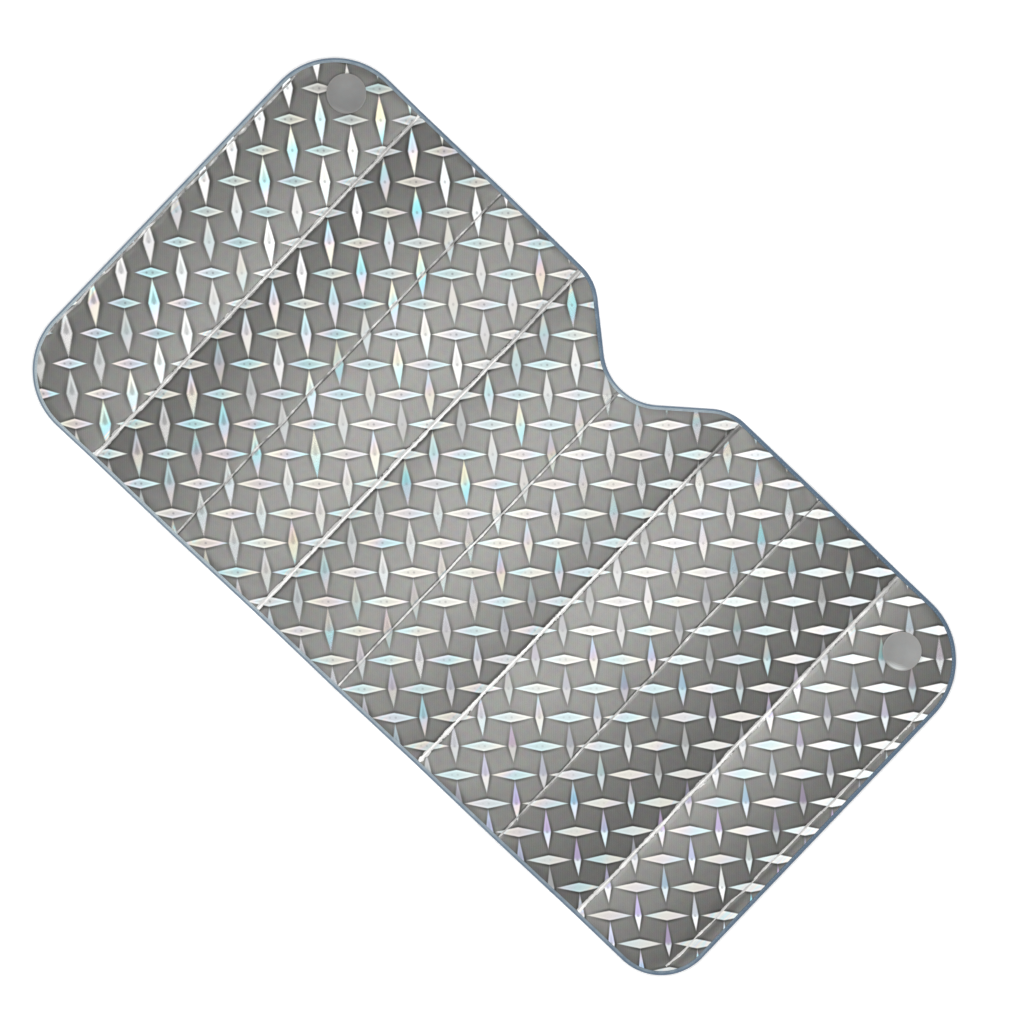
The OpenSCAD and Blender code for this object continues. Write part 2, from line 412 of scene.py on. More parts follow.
def mesh_object(name, verts, faces, uvs, material, sharp=None):
    """An object from numpy vertices, faces and per-vertex UVs, smooth except along sharp edges."""
    mesh = bpy.data.meshes.new(name)
    mesh.from_pydata([tuple(v) for v in verts], [], faces)
    layer = mesh.uv_layers.new(name="Flat")
    loops = np.zeros(len(mesh.loops), np.int32)
    mesh.loops.foreach_get("vertex_index", loops)
    layer.data.foreach_set("uv", np.asarray(uvs, np.float32)[loops].ravel())
    mesh.shade_smooth()
    mesh.update()
    mesh.materials.append(material)
    obj = bpy.data.objects.new(name, mesh)
    bpy.context.scene.collection.objects.link(obj)
    mark_sharp(mesh, 40)
    return obj


def mark_sharp(mesh, degrees):
    """Marks the edges where two faces meet at more than an angle, so that rims stay crisp."""
    normals = np.zeros(len(mesh.polygons) * 3)
    mesh.polygons.foreach_get("normal", normals)
    normals = normals.reshape(-1, 3)
    starts = np.zeros(len(mesh.polygons), np.int32)
    totals = np.zeros(len(mesh.polygons), np.int32)
    mesh.polygons.foreach_get("loop_start", starts)
    mesh.polygons.foreach_get("loop_total", totals)
    edge_of_loop = np.zeros(len(mesh.loops), np.int32)
    mesh.loops.foreach_get("edge_index", edge_of_loop)
    face_of_loop = np.repeat(np.arange(len(starts)), totals)
    order = np.argsort(edge_of_loop, kind="stable")
    edges, faces = edge_of_loop[order], face_of_loop[order]
    pair = np.nonzero(edges[1:] == edges[:-1])[0]
    dots = np.einsum("ij,ij->i", normals[faces[pair]], normals[faces[pair + 1]])
    sharp = np.zeros(len(mesh.edges), bool)
    sharp[edges[pair[dots < math.cos(math.radians(degrees))]]] = True
    attribute = mesh.attributes.get("sharp_edge") or mesh.attributes.new("sharp_edge", "BOOLEAN", "EDGE")
    attribute.data.foreach_set("value", sharp)


def slab(name, x, y, top, bottom, material):
    """A closed sheet between two height fields over the same flat grid."""
    nx, ny = x.shape
    n = nx * ny
    verts = np.concatenate([lay(x, y, top).reshape(-1, 3), lay(x, y, bottom).reshape(-1, 3)])
    faces = grid_faces(nx, ny) + grid_faces(nx, ny, n, flip=True)
    ring = [i * ny for i in range(nx)]
    ring += [(nx - 1) * ny + j for j in range(1, ny)]
    ring += [i * ny + ny - 1 for i in range(nx - 2, -1, -1)]
    ring += list(range(ny - 2, 0, -1))
    for a, b in zip(ring, ring[1:] + ring[:1]):
        faces.append((b, a, a + n, b + n))
    flat = np.stack([x.ravel(), y.ravel()], axis=-1)
    return mesh_object(name, verts, faces, np.concatenate([flat, flat]), material)


def side_columns(length, crease=False):
    """Distances from a fold: even steps through the part that bends, then growing steps."""
    near = np.linspace(0, 5 * MM, 13)
    far = 5 * MM + (length - 5 * MM) * np.linspace(0, 1, 15)[1:] ** 1.25
    if crease:
        far = far[far < PITCH - 14 * MM]
        tail = np.linspace(PITCH - 12 * MM, length - 4 * MM, 12)
        tip = length - 3 * MM * np.linspace(1, 0, 4) ** 1.5
        far = np.concatenate([far, tail, tip])
    return np.concatenate([near, far])


def columns(k):
    """The flat x of the grid's columns for the piece that crosses fold k."""
    left = side_columns(PITCH / 2)
    right = side_columns(PITCH / 2)
    outer = HALF_LENGTH - FILM_INSET - abs(fold_x(1))
    if k == 1:
        left = side_columns(outer, crease=True)
    if k == FOLDS:
        right = side_columns(outer, crease=True)
    return fold_x(k) + np.concatenate([-left[::-1], right[1:]])


def rows(low, high, count=122):
    """y of the grid's rows between low and high: fine near both edges, even between them."""
    edge = np.array([0, 1.6, 3.3, 5, 6.8, 8.6, 10.6, 13, 16, 20]) * MM
    share = np.linspace(0, 1, count - 2 * len(edge) + 2)[1:-1]
    inner_low, inner_high = low + edge[-1], high - edge[-1]
    return np.concatenate([
        low + edge,
        inner_low + (inner_high - inner_low) * share,
        (high - edge)[::-1],
    ])


def flat_grid(k):
    xs = columns(k)
    low, high = span(xs, FILM_INSET)
    y = np.stack([rows(a, b) for a, b in zip(low, high)])
    x = np.repeat(xs[:, None], y.shape[1], axis=1)
    return x, y


def stands_for(k, node):
    """Hides the node of the panel on fold k's left, and at the last fold that of the panel on its right
    too.
    """
    panels = [k, k + 1] if k == FOLDS else [k]
    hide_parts(*[f"{node}_{panel}" for panel in panels])


def cross_fold(obj, k):
    """Bakes obj's transform into its mesh and returns obj; fold k's hinge is worked out but not used."""
    hinge = Vector((HINGE_X[k - 1], 0, HINGE_Z[k - 1]))
    f"panel_{k + 1}"
    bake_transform(obj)
    return obj


# ---- a small language for materials: sums of fields in place of wired nodes ----

class Field:
    """A value in a material's node tree."""

    tree = None

    def __init__(self, socket):
        self.socket = socket

    @classmethod
    def plug(cls, socket, value):
        if isinstance(value, Field):
            cls.tree.links.new(value.socket, socket)
        else:
            socket.default_value = value

    @classmethod
    def node(cls, kind, output, inputs=(), **settings):
        """One output of a new node. inputs gives values or fields by the socket's name or number."""
        node = cls.tree.nodes.new(kind)
        for key, value in settings.items():
            setattr(node, key, value)
        for key, value in dict(inputs).items():
            cls.plug(node.inputs[key], value)
        return cls(node.outputs[output])

    @classmethod
    def math(cls, operation, *values, clamp=False):
        return cls.node("ShaderNodeMath", 0, enumerate(values), operation=operation, use_clamp=clamp)

    def __add__(self, other):
        return self.math("ADD", self, other)

    def __radd__(self, other):
        return self.math("ADD", other, self)

    def __sub__(self, other):
        return self.math("SUBTRACT", self, other)

    def __rsub__(self, other):
        return self.math("SUBTRACT", other, self)

    def __mul__(self, other):
        return self.math("MULTIPLY", self, other)

    def __rmul__(self, other):
        return self.math("MULTIPLY", other, self)

    def __truediv__(self, other):
        return self.math("DIVIDE", self, other)

    def abs(self):
        return self.math("ABSOLUTE", self)

    def round(self):
        return self.math("ROUND", self)

    def mod(self, other):
        return self.math("FLOORED_MODULO", self, other)

    def power(self, other):
        return self.math("POWER", self, other)

    def sin(self):
        return self.math("SINE", self)

    def clamp(self):
        return self.math("ADD", self, 0.0, clamp=True)

    def below(self, edge, soft):
        """1 where the value is under edge, 0 above it, with a soft step."""
        limits = {"From Min": edge - soft, "From Max": edge + soft, "To Min": 1, "To Max": 0}
        inputs = {"Value": self, **limits}
        return self.node("ShaderNodeMapRange", "Result", inputs, interpolation_type="SMOOTHSTEP")


def vector(x, y, z=0.0):
    return Field.node("ShaderNodeCombineXYZ", 0, enumerate((x, y, z)))


def noise(at, scale, detail=2.0, roughness=0.5, output="Fac"):
    inputs = {"Vector": at, "Scale": scale, "Detail": detail, "Roughness": roughness}
    return Field.node("ShaderNodeTexNoise", output, inputs)


def random_at(at):
    return Field.node("ShaderNodeTexWhiteNoise", "Value", {"Vector": at}, noise_dimensions="3D")


def hsv(*values):
    return Field.node("ShaderNodeCombineColor", 0, enumerate(values), mode="HSV")


def rgb(*values):
    return Field.node("ShaderNodeCombineColor", 0, enumerate(values), mode="RGB")


MIX_FIRST, MIX_SECOND, MIX_RESULT = 6, 7, 2     # the colour sockets of a Mix node


def mix(first, second, share):
    """Colours: first where share is 0, second where it is 1."""
    inputs = {"Factor": share, MIX_FIRST: first, MIX_SECOND: second}
    return Field.node("ShaderNodeMix", MIX_RESULT, inputs, data_type="RGBA")


def split(at):
    """The x, y and z of a vector."""
    parts = Field.node("ShaderNodeSeparateXYZ", 0, {0: at}).socket.node
    return [Field(socket) for socket in parts.outputs]


def flat_xy():
    """The flat coordinates of a surface point, kept in the mesh's UVs so that they follow a fold."""
    return split(Field.node("ShaderNodeUVMap", 0, uv_map="Flat"))[:2]


def object_point():
    return Field.node("ShaderNodeTexCoord", "Object")


def geometry(output):
    """Normal is the way the surface faces, and Incoming the way to the eye."""
    return Field.node("ShaderNodeNewGeometry", output)


def bump(height, distance, strength=1.0):
    inputs = {"Height": height, "Distance": distance, "Strength": strength}
    return Field.node("ShaderNodeBump", 0, inputs)


def material(name, build):
    """A material whose Principled inputs are what build() returns."""
    made = bpy.data.materials.new(name)
    made.use_nodes = True
    Field.tree = made.node_tree
    shader = made.node_tree.nodes["Principled BSDF"]
    for key, value in build().items():
        Field.plug(shader.inputs[key], value)
    return made


# ---- the patterned film ----

PATTERN_TURN = math.radians(43.58)  # the film's rows run at this angle to the pad's length
COLUMN_PITCH = 43.19 * MM
ROW_PITCH = 43.42 * MM
COLUMN_START = 39.2 * MM
ROW_START = 4.6 * MM
ROW_STRETCH = 0.0014                # the rows close up by this much a row
COLUMN_SPREAD = -0.00145            # and the columns by this much a row
COLUMN_LEAN = 2.91 * MM             # how far a column shifts from row to row
LONG_DIAMOND = (0.76, 0.163)        # half length and half width of the diamonds along rows, in pitches
TALL_DIAMOND = (0.148, 0.745)       # half width and half length of those along columns
BULGE = 1.08                        # above 1, a diamond's sides bulge
# The hue turns with the place and, more quickly, with the tilt of the film, as a grating's does:
# radians a metre along x and y, radians a radian of tilt, and the start.
LONG_FRINGES = (-13.7, -8.1, 99.0, 5.32)
TALL_FRINGES = (34.0, 0.0, -69.0, 3.75)
FRINGES_PER_SLANT = 14.0            # radians from looking straight down to looking along the film
# how deep the fringe is in red, green and blue, and how much later than in red it comes, in radians
FRINGE_COLOURS = ((1.0, 0.0), (0.42, 1.6), (0.50, 3.1))
# How a thing changes over the pad: its value in the middle of the pad, its rise to the right end,
# its rise to the notched edge, and its rise to the top right and bottom left corners.
LONG_BRIGHTNESS = (0.83, 0.08, 0.05, 0.16)
TALL_BRIGHTNESS = (0.70, -0.17, 0.08, -0.18)
TALL_CLEARNESS = (0.74, -0.16, 0.06, -0.28)
LONG_FRINGE_DEPTH = (0.24, -0.10, -0.06, 0.0)
LONG_STEP, TALL_STEP = 0.14, 0.20   # how soft the diamonds' edges are
# the line round a diamond is painted shade
OUTLINE_SHADE = 0.80                # how dark the line round a diamond is
DIAMOND_ROUGHNESS = 0.40
CELL_GREY = 0.160
CELL_ROUGHNESS = 0.47
SCREEN_PITCH = 2.7 * MM
LAST_FOLD = 0.733                   # where the last fold is, as a share of the half length


def film_rows(x, y):
    """Place along and up the film's rows, and the row and column numbers of its lattice, as fields."""
    along = x * math.cos(PATTERN_TURN) + y * math.sin(PATTERN_TURN)
    up = y * math.cos(PATTERN_TURN) - x * math.sin(PATTERN_TURN)
    even = (ROW_START - up) / ROW_PITCH
    row = even + even * even * ROW_STRETCH
    column = (along - COLUMN_START - row * COLUMN_LEAN) / ((row * COLUMN_SPREAD + 1.0) * COLUMN_PITCH)
    return along, up, row, column


def fringe_phase(x, y, fringes, drift):
    """The phase of a grating's fringes at a place. drift is how far the eye has moved to the side."""
    per_x, per_y, per_tilt, start = fringes
    tilt = split(geometry("Normal"))[0]
    return x * per_x + y * per_y - tilt * per_tilt + start + drift * FRINGES_PER_SLANT


def fringed(value, phase, strength):
    """A pale colour from which the grating takes first red, then green, then blue as the phase turns."""
    channels = []
    for loss, lag in FRINGE_COLOURS:
        ring = ((phase - lag + math.pi / 2).sin() * 0.5 + 0.5).power(1.5)
        channels.append(value * (1.0 - ring * strength * loss))
    return rgb(*channels)


def over_pad(nx, ny, change):
    """A value that changes over the pad. nx and ny go from -1 to 1 along and across it."""
    middle, rightwards, upwards, to_corners = change
    return nx * rightwards + ny * upwards + nx * ny * to_corners + middle


def dot(i, j, narrow_i, narrow_j, size, soft):
    """1 in a small ellipse round the middle of a diamond."""
    return (i.power(2.0) * narrow_i + j.power(2.0) * narrow_j).power(0.5).below(size, soft)


def patterned_film():
    x, y = flat_xy()
    along, up, row, column = film_rows(x, y)
    nx, ny = x / HALF_LENGTH, y / HALF_HEIGHT
    corner = nx * ny
    slant = (1.0 - split(geometry("Incoming"))[2].abs()).clamp()

    # diamonds along the rows, at every other column
    near_row, near_column = row.round(), column.round()
    long_i = (column - near_row + 1.0).mod(2.0) - 1.0
    long_j = row - near_row
    long_seed = vector(column - long_i, near_row)
    own_long = random_at(long_seed) - 0.5
    # they are shorter towards the pad's left end
    reach = (1.0 - (nx * -1.0 - 0.35).clamp() * 0.50) * LONG_DIAMOND[0]
    long_d = (long_i.abs() / reach).power(BULGE) + long_j.abs() / LONG_DIAMOND[1]
    # diamonds along the columns, at the places between: wider to the left, and fainter to the right
    tall_i = column - near_column
    tall_j = (row - near_column).mod(2.0) - 1.0
    tall_seed = vector(near_column, row - tall_j, 7.0)
    own_tall = random_at(tall_seed) - 0.5
    upper = tall_j.below(0.0, 0.10)
    lower = 1.0 - upper
    shorter = ((nx * 0.5 + 0.15).clamp() * 0.7 + (0.05 - own_tall).clamp() * 0.5) * lower + 1.0
    half_width = (1.0 - (nx - corner * 0.6) * 0.20) * TALL_DIAMOND[0]
    tall_d = tall_i.abs() / half_width + (tall_j.abs() * shorter / TALL_DIAMOND[1]).power(BULGE)
    clear = over_pad(nx, ny, TALL_CLEARNESS) + own_tall * 0.3
    clear = (clear + lower * (nx * 0.5 + 0.1).clamp() * 0.5).clamp()
    is_long = long_d.below(1.0, LONG_STEP)
    in_tall = tall_d.below(1.0, TALL_STEP)
    is_tall = in_tall * (1.0 - is_long) * clear
    # painted shade: a darker line round each diamond, where the film's relief turns down
    long_outline_shade = long_d.below(1.50, 0.40) * (1.15 - long_i.abs() / reach).clamp()
    tall_outline_shade = tall_d.below(1.70, 0.50) * (1.15 - tall_j.abs() / TALL_DIAMOND[1]).clamp() * clear
    line = (long_outline_shade + tall_outline_shade).clamp() * (1.0 - is_long) * (1.0 - in_tall)

    long_phase = fringe_phase(x, y, LONG_FRINGES, slant) + own_long * 0.4
    tall_phase = fringe_phase(x, y, TALL_FRINGES, slant) + own_tall * 0.7 + lower * 0.4
    lively = (noise(long_seed, 0.45, 1.0) * 2.6 - 0.5).clamp()
    long_fringe = over_pad(nx, ny, LONG_FRINGE_DEPTH) * lively + 0.03 + slant * 0.45
    tall_lively = (noise(tall_seed, 0.45, 1.0) * 4.2 - 1.9 + own_tall * 0.5).clamp()
    tall_fringe = (0.60 - lower * 0.12) * tall_lively + 0.06 + slant * 0.45
    xx, yy = nx * nx, ny * ny
    long_value = over_pad(nx, ny, LONG_BRIGHTNESS) * (0.94 + xx * 0.10 + own_long * 0.12)
    # a pale rim and a slightly duller inside
    long_value = long_value * (1.0 - long_d.below(0.60, 0.22) * (0.20 - nx * 0.12))
    # some of the diamonds along the columns have a dull hollow in their upper half
    hollow = (0.10 - nx * 0.5 - ny * 0.45 + own_tall * 0.5).clamp() * tall_d.below(0.55, 0.22) * upper
    tall_value = over_pad(nx, ny, TALL_BRIGHTNESS) + xx * 0.56 + yy * 0.20 + own_tall * 0.52
    tall_value = tall_value * 0.71
    rightward = (nx * 1.2).clamp()
    tall_value = (tall_value + lower * rightward * 0.16).clamp() * (1.0 - hollow * 0.55)
    long_color = fringed(long_value, long_phase, long_fringe.clamp())
    tall_fringe = tall_fringe * (1.0 - lower * rightward * 0.6)
    tall_color = fringed(tall_value, tall_phase, tall_fringe.clamp())
    # to the right their upper halves turn violet and blue, and their lower halves white
    tint = noise(tall_seed, 0.40, 1.0)
    violet = (nx * 1.1 - ny * 0.5 - 0.10).clamp() * (tint * 4.0 - 1.35).clamp() * (1.0 - lower * 0.9)
    tall_color = mix(tall_color, hsv(tint * 0.5 + 0.43, 0.46, tall_value * 0.95), violet * 0.85)
    # one or two small dots in the middle of each diamond
    long_side = (0.75 - nx * 0.9).clamp()
    dot_a = dot(long_i - 0.04, long_j, 30.0, 34.0, 0.22, 0.10)
    dot_b = dot(long_i + 0.16, long_j, 30.0, 34.0, 0.20, 0.10)
    dot_c = dot(tall_i, tall_j, 34.0, 22.0, 0.24, 0.12)
    dots = (dot_a + dot_b * (own_long + 0.5)).clamp() * is_long * long_side * 0.55
    dots = dots + dot_c * is_tall * 0.45

    # the plain cells carry a fine engraved screen and a faint play of colour
    screen = (along * (2 * math.pi / SCREEN_PITCH)).sin() * 0.5 + 0.5
    grain = noise(vector(x, y), 900.0, 2.0)
    patch = noise(vector(along, up), 9.0, 1.0)
    cell = screen * 0.022 + grain * 0.07 + patch * 0.03 + (CELL_GREY - 0.072)
    # painted light and shade: the film is brighter just past the last fold, and duller by the right
    # edge, as the last panel's slope would be lit
    past_fold = 1.0 - nx.below(LAST_FOLD, 0.004)
    cell = cell * (1.0 + past_fold * (0.24 - (nx - LAST_FOLD).clamp() * 1.3))
    cell_color = mix(hsv(0.16, 0.05, cell), noise(vector(x, y), 110.0, 1.0, output="Color"), 0.035)
    # painted shade round the diamonds darkens the cells
    color = mix(cell_color, rgb(0.034, 0.034, 0.032), line * OUTLINE_SHADE)
    color = mix(color, tall_color, is_tall)
    color = mix(color, long_color, is_long)
    color = mix(color, rgb(0.14, 0.14, 0.15), dots)
    bright = (is_long + is_tall).clamp()
    relief = (1.0 - long_d).clamp() + (1.0 - tall_d).clamp() * 0.8 + screen * 0.03 + grain * 0.05
    return {
        "Base Color": color,
        "Metallic": 1.0 - bright * 0.97,
        "Roughness": bright * (DIAMOND_ROUGHNESS - CELL_ROUGHNESS) + CELL_ROUGHNESS,
        "Specular IOR Level": 0.3,
        "Normal": bump(relief, 0.10 * MM, 0.5),
    }


def pressed_film_with_glint(tone_start, patchiness):
    """Film stretched and welded along a fold: whitened, with fine cross ribs, and painted pale as a
    painted highlight for the crease's glint.
    """
    x, y = flat_xy()
    ribs = noise(vector(x * 3.0, y), 420.0, 2.0)
    patch = noise(vector(x, y), 55.0, 2.0)
    worn = noise(vector(x, y * 0.4), 16.0, 1.0) - 0.5
    # painted highlight: the strips whiten from the notched edge downwards, and those in the middle are
    # the whitest
    nx, ny = x / HALF_LENGTH, y / HALF_HEIGHT
    place = (nx * 2.0 + 1.46).clamp() * 0.14 - 0.09 - (nx - 0.3).clamp() * 0.12
    place = place - (ny * 0.5 + 0.5) * 0.12
    # painted shade: towards the notched edge, the strips of folds 3 to 7 lose their painted highlight
    # and show grey: most of all 4 and 5
    from_fold_3 = 1.0 - x.below(-200 * MM, 1 * MM)
    folds_4_and_5 = (x - 82 * MM).abs().below(120 * MM, 1 * MM)
    upper_end = ((y - x * 0.16 - 200 * MM) / (50 * MM)).clamp()
    painted_shade_near_notch = from_fold_3 * upper_end * (folds_4_and_5 * 0.35 + 0.37)
    tone = (ribs * 0.12 + (patch - 0.5) * patchiness + worn * 0.35 + place + tone_start).clamp()
    tone = tone * (1.0 - painted_shade_near_notch)
    return {
        "Base Color": hsv(0.12, 0.03, tone),
        "Metallic": 0.25,
        "Roughness": 0.36,
        "Normal": bump(ribs, 0.12 * MM, 0.6),
    }


def plain_film():
    x, y = flat_xy()
    crinkle = noise(vector(x, y), 70.0, 4.0, 0.6)
    grain = noise(vector(x, y), 1400.0, 1.0)
    ribs = (y * (2 * math.pi / (1.5 * MM))).sin() * 0.5 + 0.5
    tone = crinkle * 0.24 + grain * 0.06 + 0.36
    return {
        "Base Color": hsv(0.6, 0.02, tone),
        "Metallic": 0.9,
        "Roughness": crinkle * 0.16 + 0.30,
        "Normal": bump(crinkle + ribs * 0.04, 0.5 * MM, 0.6),
    }


def closed_cell_foam():
    x, y = flat_xy()
    inputs = {"Vector": vector(x, y), "Scale": 900.0}
    depth = Field.node("ShaderNodeTexVoronoi", "Distance", inputs, feature="F1")
    return {
        "Base Color": hsv(0.1, 0.02, depth * 0.15 + 0.80),
        "Roughness": 0.85,
        "Normal": bump(depth, 0.3 * MM, 0.6),
    }


# painted shade: the dark line beside the tape's outer fold
TAPE_TURN = BIND_W - 0.1 * MM   # how far across the tape the dark line beside its outer fold is
# painted light: the tape's lit copy shows more this way
TAPE_PAINTED_LIGHT = (-0.75, -1.1)     # the tape is paler this way, a metre along x and y


def woven_tape():
    """Ribbed satin tape: lit and shaded copies of its colour mixed as painted light, and darker along
    its outer fold with painted shade. Its UVs run along the tape and across it.
    """
    along, across = flat_xy()
    warp = (across * (2 * math.pi / (0.75 * MM))).sin()
    weft = (along * (2 * math.pi / (0.55 * MM))).sin()
    weave = warp * weft * 0.5 + 0.5
    wear_and_light_patches = noise(vector(along, across), 60.0, 3.0)
    place_x, place_y, _ = split(object_point())
    place = place_x * TAPE_PAINTED_LIGHT[0] + place_y * TAPE_PAINTED_LIGHT[1]
    # painted light on the notch's flanks
    in_notch = (place_x - 60 * MM).abs().below(85 * MM, 25 * MM)
    in_notch = in_notch * (1.0 - place_y.below(150 * MM, 10 * MM))
    # painted light: the share of the lit copy over the shaded one
    pale = (place + in_notch * 0.75 + 0.38 + (wear_and_light_patches - 0.5) * 0.8).clamp()
    # painted shade along the tape's outer fold
    fold = (across - TAPE_TURN).abs().below(2.7 * MM, 0.8 * MM)
    light = hsv(0.555, 0.22, wear_and_light_patches * 0.10 + weave * 0.04 + 0.46)
    tape_in_shade = hsv(0.590, 0.66, wear_and_light_patches * 0.06 + weave * 0.02 + 0.15)
    color = mix(tape_in_shade, light, pale)
    color = mix(color, rgb(0.075, 0.13, 0.20), fold * 0.80)
    return {
        "Base Color": color,
        "Roughness": 0.46,
        "Sheen Weight": 0.15,
        "Specular IOR Level": 0.6,
        "Normal": bump(weave + wear_and_light_patches * 0.5, 0.12 * MM, 0.7),
    }


def thread():
    along, across = flat_xy()
    twist = ((along + across * 1.6) * (2 * math.pi / (0.5 * MM))).sin() * 0.5 + 0.5
    return {
        "Base Color": hsv(0.57, 0.25, twist * 0.08 + 0.30),
        "Roughness": 0.6,
        "Normal": bump(twist, 0.06 * MM, 0.7),
    }


# painted highlight: the side of a cup's bowl that leans this way is painted pale
RIM_LIGHT = (-0.40, 0.92)       # the side of a cup's bowl that leans this way catches the light


def soft_plastic(grey, rim_light):
    """Clear-grey plastic, hazy, with a painted highlight along one side of the bowl's rim."""
    at = object_point()
    haze = noise(at, 60.0, 2.0)
    fine = noise(at, 900.0, 1.0)
    normal_x, normal_y, _ = split(geometry("Normal"))
    lean = normal_x * RIM_LIGHT[0] + normal_y * RIM_LIGHT[1]
    lit = (1.0 - lean.below(0.36, 0.07)) * rim_light
    return {
        "Base Color": mix(hsv(0.1, 0.015, haze * 0.05 + grey), rgb(0.72, 0.72, 0.71), lit),
        "Roughness": haze * 0.10 + 0.50,
        "Subsurface Weight": 0.1,
        "Normal": bump(fine, 0.05 * MM, 0.3),
    }


def plated_metal():
    at = object_point()
    turning = noise(at, 700.0, 2.0)
    return {
        "Base Color": hsv(0.6, 0.02, turning * 0.08 + 0.62),
        "Metallic": 1.0,
        "Roughness": turning * 0.12 + 0.20,
        "Normal": bump(turning, 0.03 * MM, 0.4),
    }


FOIL = material("patterned_film", patterned_film)
# the pressed strips carry a painted highlight, bright in the first of these and faint in the second
PRESSED_GLINT = material("pressed_film_with_glint", lambda: pressed_film_with_glint(0.58, 0.45))
PRESSED_FAINT_GLINT = material("pressed_film_faint_glint", lambda: pressed_film_with_glint(0.33, 1.1))
BACK = material("plain_film", plain_film)
FOAM = material("closed_cell_foam", closed_cell_foam)
TAPE = material("woven_tape", woven_tape)
THREAD = material("thread", thread)
# painted shade and light: the same plastic in a darker copy for the left cup, and a lighter copy with a
# stronger painted highlight for the right
CUP_LEFT = material("soft_plastic_left", lambda: soft_plastic(0.20, 0.25))
CUP_RIGHT = material("soft_plastic_right", lambda: soft_plastic(0.27, 0.9))
METAL = material("plated_metal", plated_metal)


# ---- layers: front film, foam core and back film ----

def build_layers(k):
    x, y = flat_grid(k)
    inside = edge_distance(x, y)
    front, back = heights(x, y, inside)
    skin = 0.01 * MM
    film = slab(f"front_film_{k}", x, y, front, front - FILM_T, FOIL)
    core = slab(f"foam_core_layer_{k}", x, y, front - FILM_T - skin, back + FILM_T + skin, FOAM)
    rear = slab(f"back_film_layer_{k}", x, y, back + FILM_T, back, BACK)
    for obj, slot, node in (
        (film, "front_foil", "front_foil"),
        (core, "foam", "foam_core"),
        (rear, "back_film", "back_film"),
    ):
        cross_fold(obj, k)
        stands_for(k, node)


# ---- the welded strip along each fold ----

WELD_VALLEY = 2.9 * MM      # half width of the strip along a valley fold
WELD_RIDGE = 1.15 * MM      # the same along a ridge fold
WELD_SIDE = 1.6 * MM        # the same along the creases by the side edges
WELD_SHIFT = 1.1 * MM       # a valley's strip lies this much nearer to the pad's end
WELD_BACK = 2.0 * MM        # the same along the back of a ridge fold
WELD_T = 0.12 * MM


def weld(name, centre, half_width, seed, finish, on_front=True):
    """A thin ragged strip along the line centre(y), lying on the pad's front or back."""
    start = centre(0.0)
    low, high = span(np.array([float(start)]), BIND_W + 0.4 * MM)
    knots = rows(low[0], high[0])
    ys = np.linspace(low[0], high[0], 260)
    rough = 0.15 * ripple(0, ys, 9 * MM, seed) + 0.12 * ripple(0, ys, 34 * MM, seed + 1)
    ragged = half_width * (1 + rough)
    shares = np.linspace(-1, 1, 9)
    top, bottom, x = [], [], []
    for share in shares:
        line = centre(knots)
        px = line + share * np.interp(knots, ys, ragged)
        front, back = heights(px, knots, edge_distance(px, knots))
        rounded = WELD_T * (1 - 0.6 * share ** 2)
        x.append(np.interp(ys, knots, line) + share * ragged)
        level = np.interp(ys, knots, front if on_front else back)
        top.append(level + rounded if on_front else level + 0.01 * MM)
        bottom.append(level - 0.01 * MM if on_front else level - rounded)
    y = np.repeat(ys[None, :], len(shares), axis=0)
    return slab(name, np.array(x), y, np.array(top), np.array(bottom), finish)


def build_crease(k):
    valley = k % 2 == 1
    shift = WELD_SHIFT * np.sign(k - MIDDLE_FOLD) if valley else 0.0

    def centre(y):
        return fold_x(k) + shift + fold_wander(y, k)[0]

    width, finish = (WELD_VALLEY, PRESSED_GLINT) if valley else (WELD_RIDGE, PRESSED_FAINT_GLINT)
    front = weld(f"crease_front_{k}", centre, width, 300 + 10 * k, finish)
    cross_fold(front, k)
    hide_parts(f"fold_crease_{k}")
    if not valley:
        back = weld(f"crease_back_{k}", centre, WELD_BACK, 400 + 10 * k, PRESSED_GLINT, on_front=False)
        cross_fold(back, k)


def side_crease_x(y, side):
    lean = SIDE_CREASE_LEAN[side] * (y / HALF_HEIGHT) * 0.5
    return side * (SIDE_CREASE[side] + lean) + 0.8 * MM * ripple(0, y, 60 * MM, 90 + side)


def build_side_crease(side, name, body, finish):
    strip = weld(name, lambda y: side_crease_x(y, side), WELD_SIDE, 500 + side, finish)
    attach(strip, body)


# ---- the edge binding and its stitches ----

STITCH_PITCH = 4.6 * MM
STITCH_IN = 4.7 * MM        # how far in from the outline the stitches run
STITCH_LONG = 3.3 * MM
STITCH_R = 0.26 * MM
STITCH_BED = 0.62 * TAPE_T  # the tape is pulled down to this height under the stitches
TAPE_STEP = 2.2 * MM        # the tape's rings are this far apart


def runs_for(k):
    """The stretches of the outline that belong to piece k, as (points, inward directions, distances)."""
    breaks = [fold_x(f) + PITCH / 2 for f in range(1, FOLDS)]
    points, normals = outline(TAPE_STEP, breaks)
    steps = np.linalg.norm(np.diff(np.concatenate([points, points[:1]]), axis=0), axis=1)
    distance = np.concatenate([[0], np.cumsum(steps)[:-1]])
    keep_apart = np.concatenate([[True], steps[:-1] > 1e-7])
    points, normals, distance = points[keep_apart], normals[keep_apart], distance[keep_apart]
    low = -1.0 if k == 1 else breaks[k - 2]
    high = 1.0 if k == FOLDS else breaks[k - 1]
    inside = (points[:, 0] > low - 1e-6) & (points[:, 0] < high + 1e-6)
    # start each run just after a gap
    n = len(points)
    starts = [i for i in range(n) if inside[i] and not inside[i - 1]]
    runs = []
    for s in starts:
        ids = []
        i = s
        while inside[i % n] and len(ids) < n:
            ids.append(i % n)
            i += 1
        if len(ids) > 2:
            d = distance[ids]
            d = np.where(d < d[0], d + distance[-1] + steps[-1], d)
            runs.append((points[ids], -normals[ids], d))
    return runs


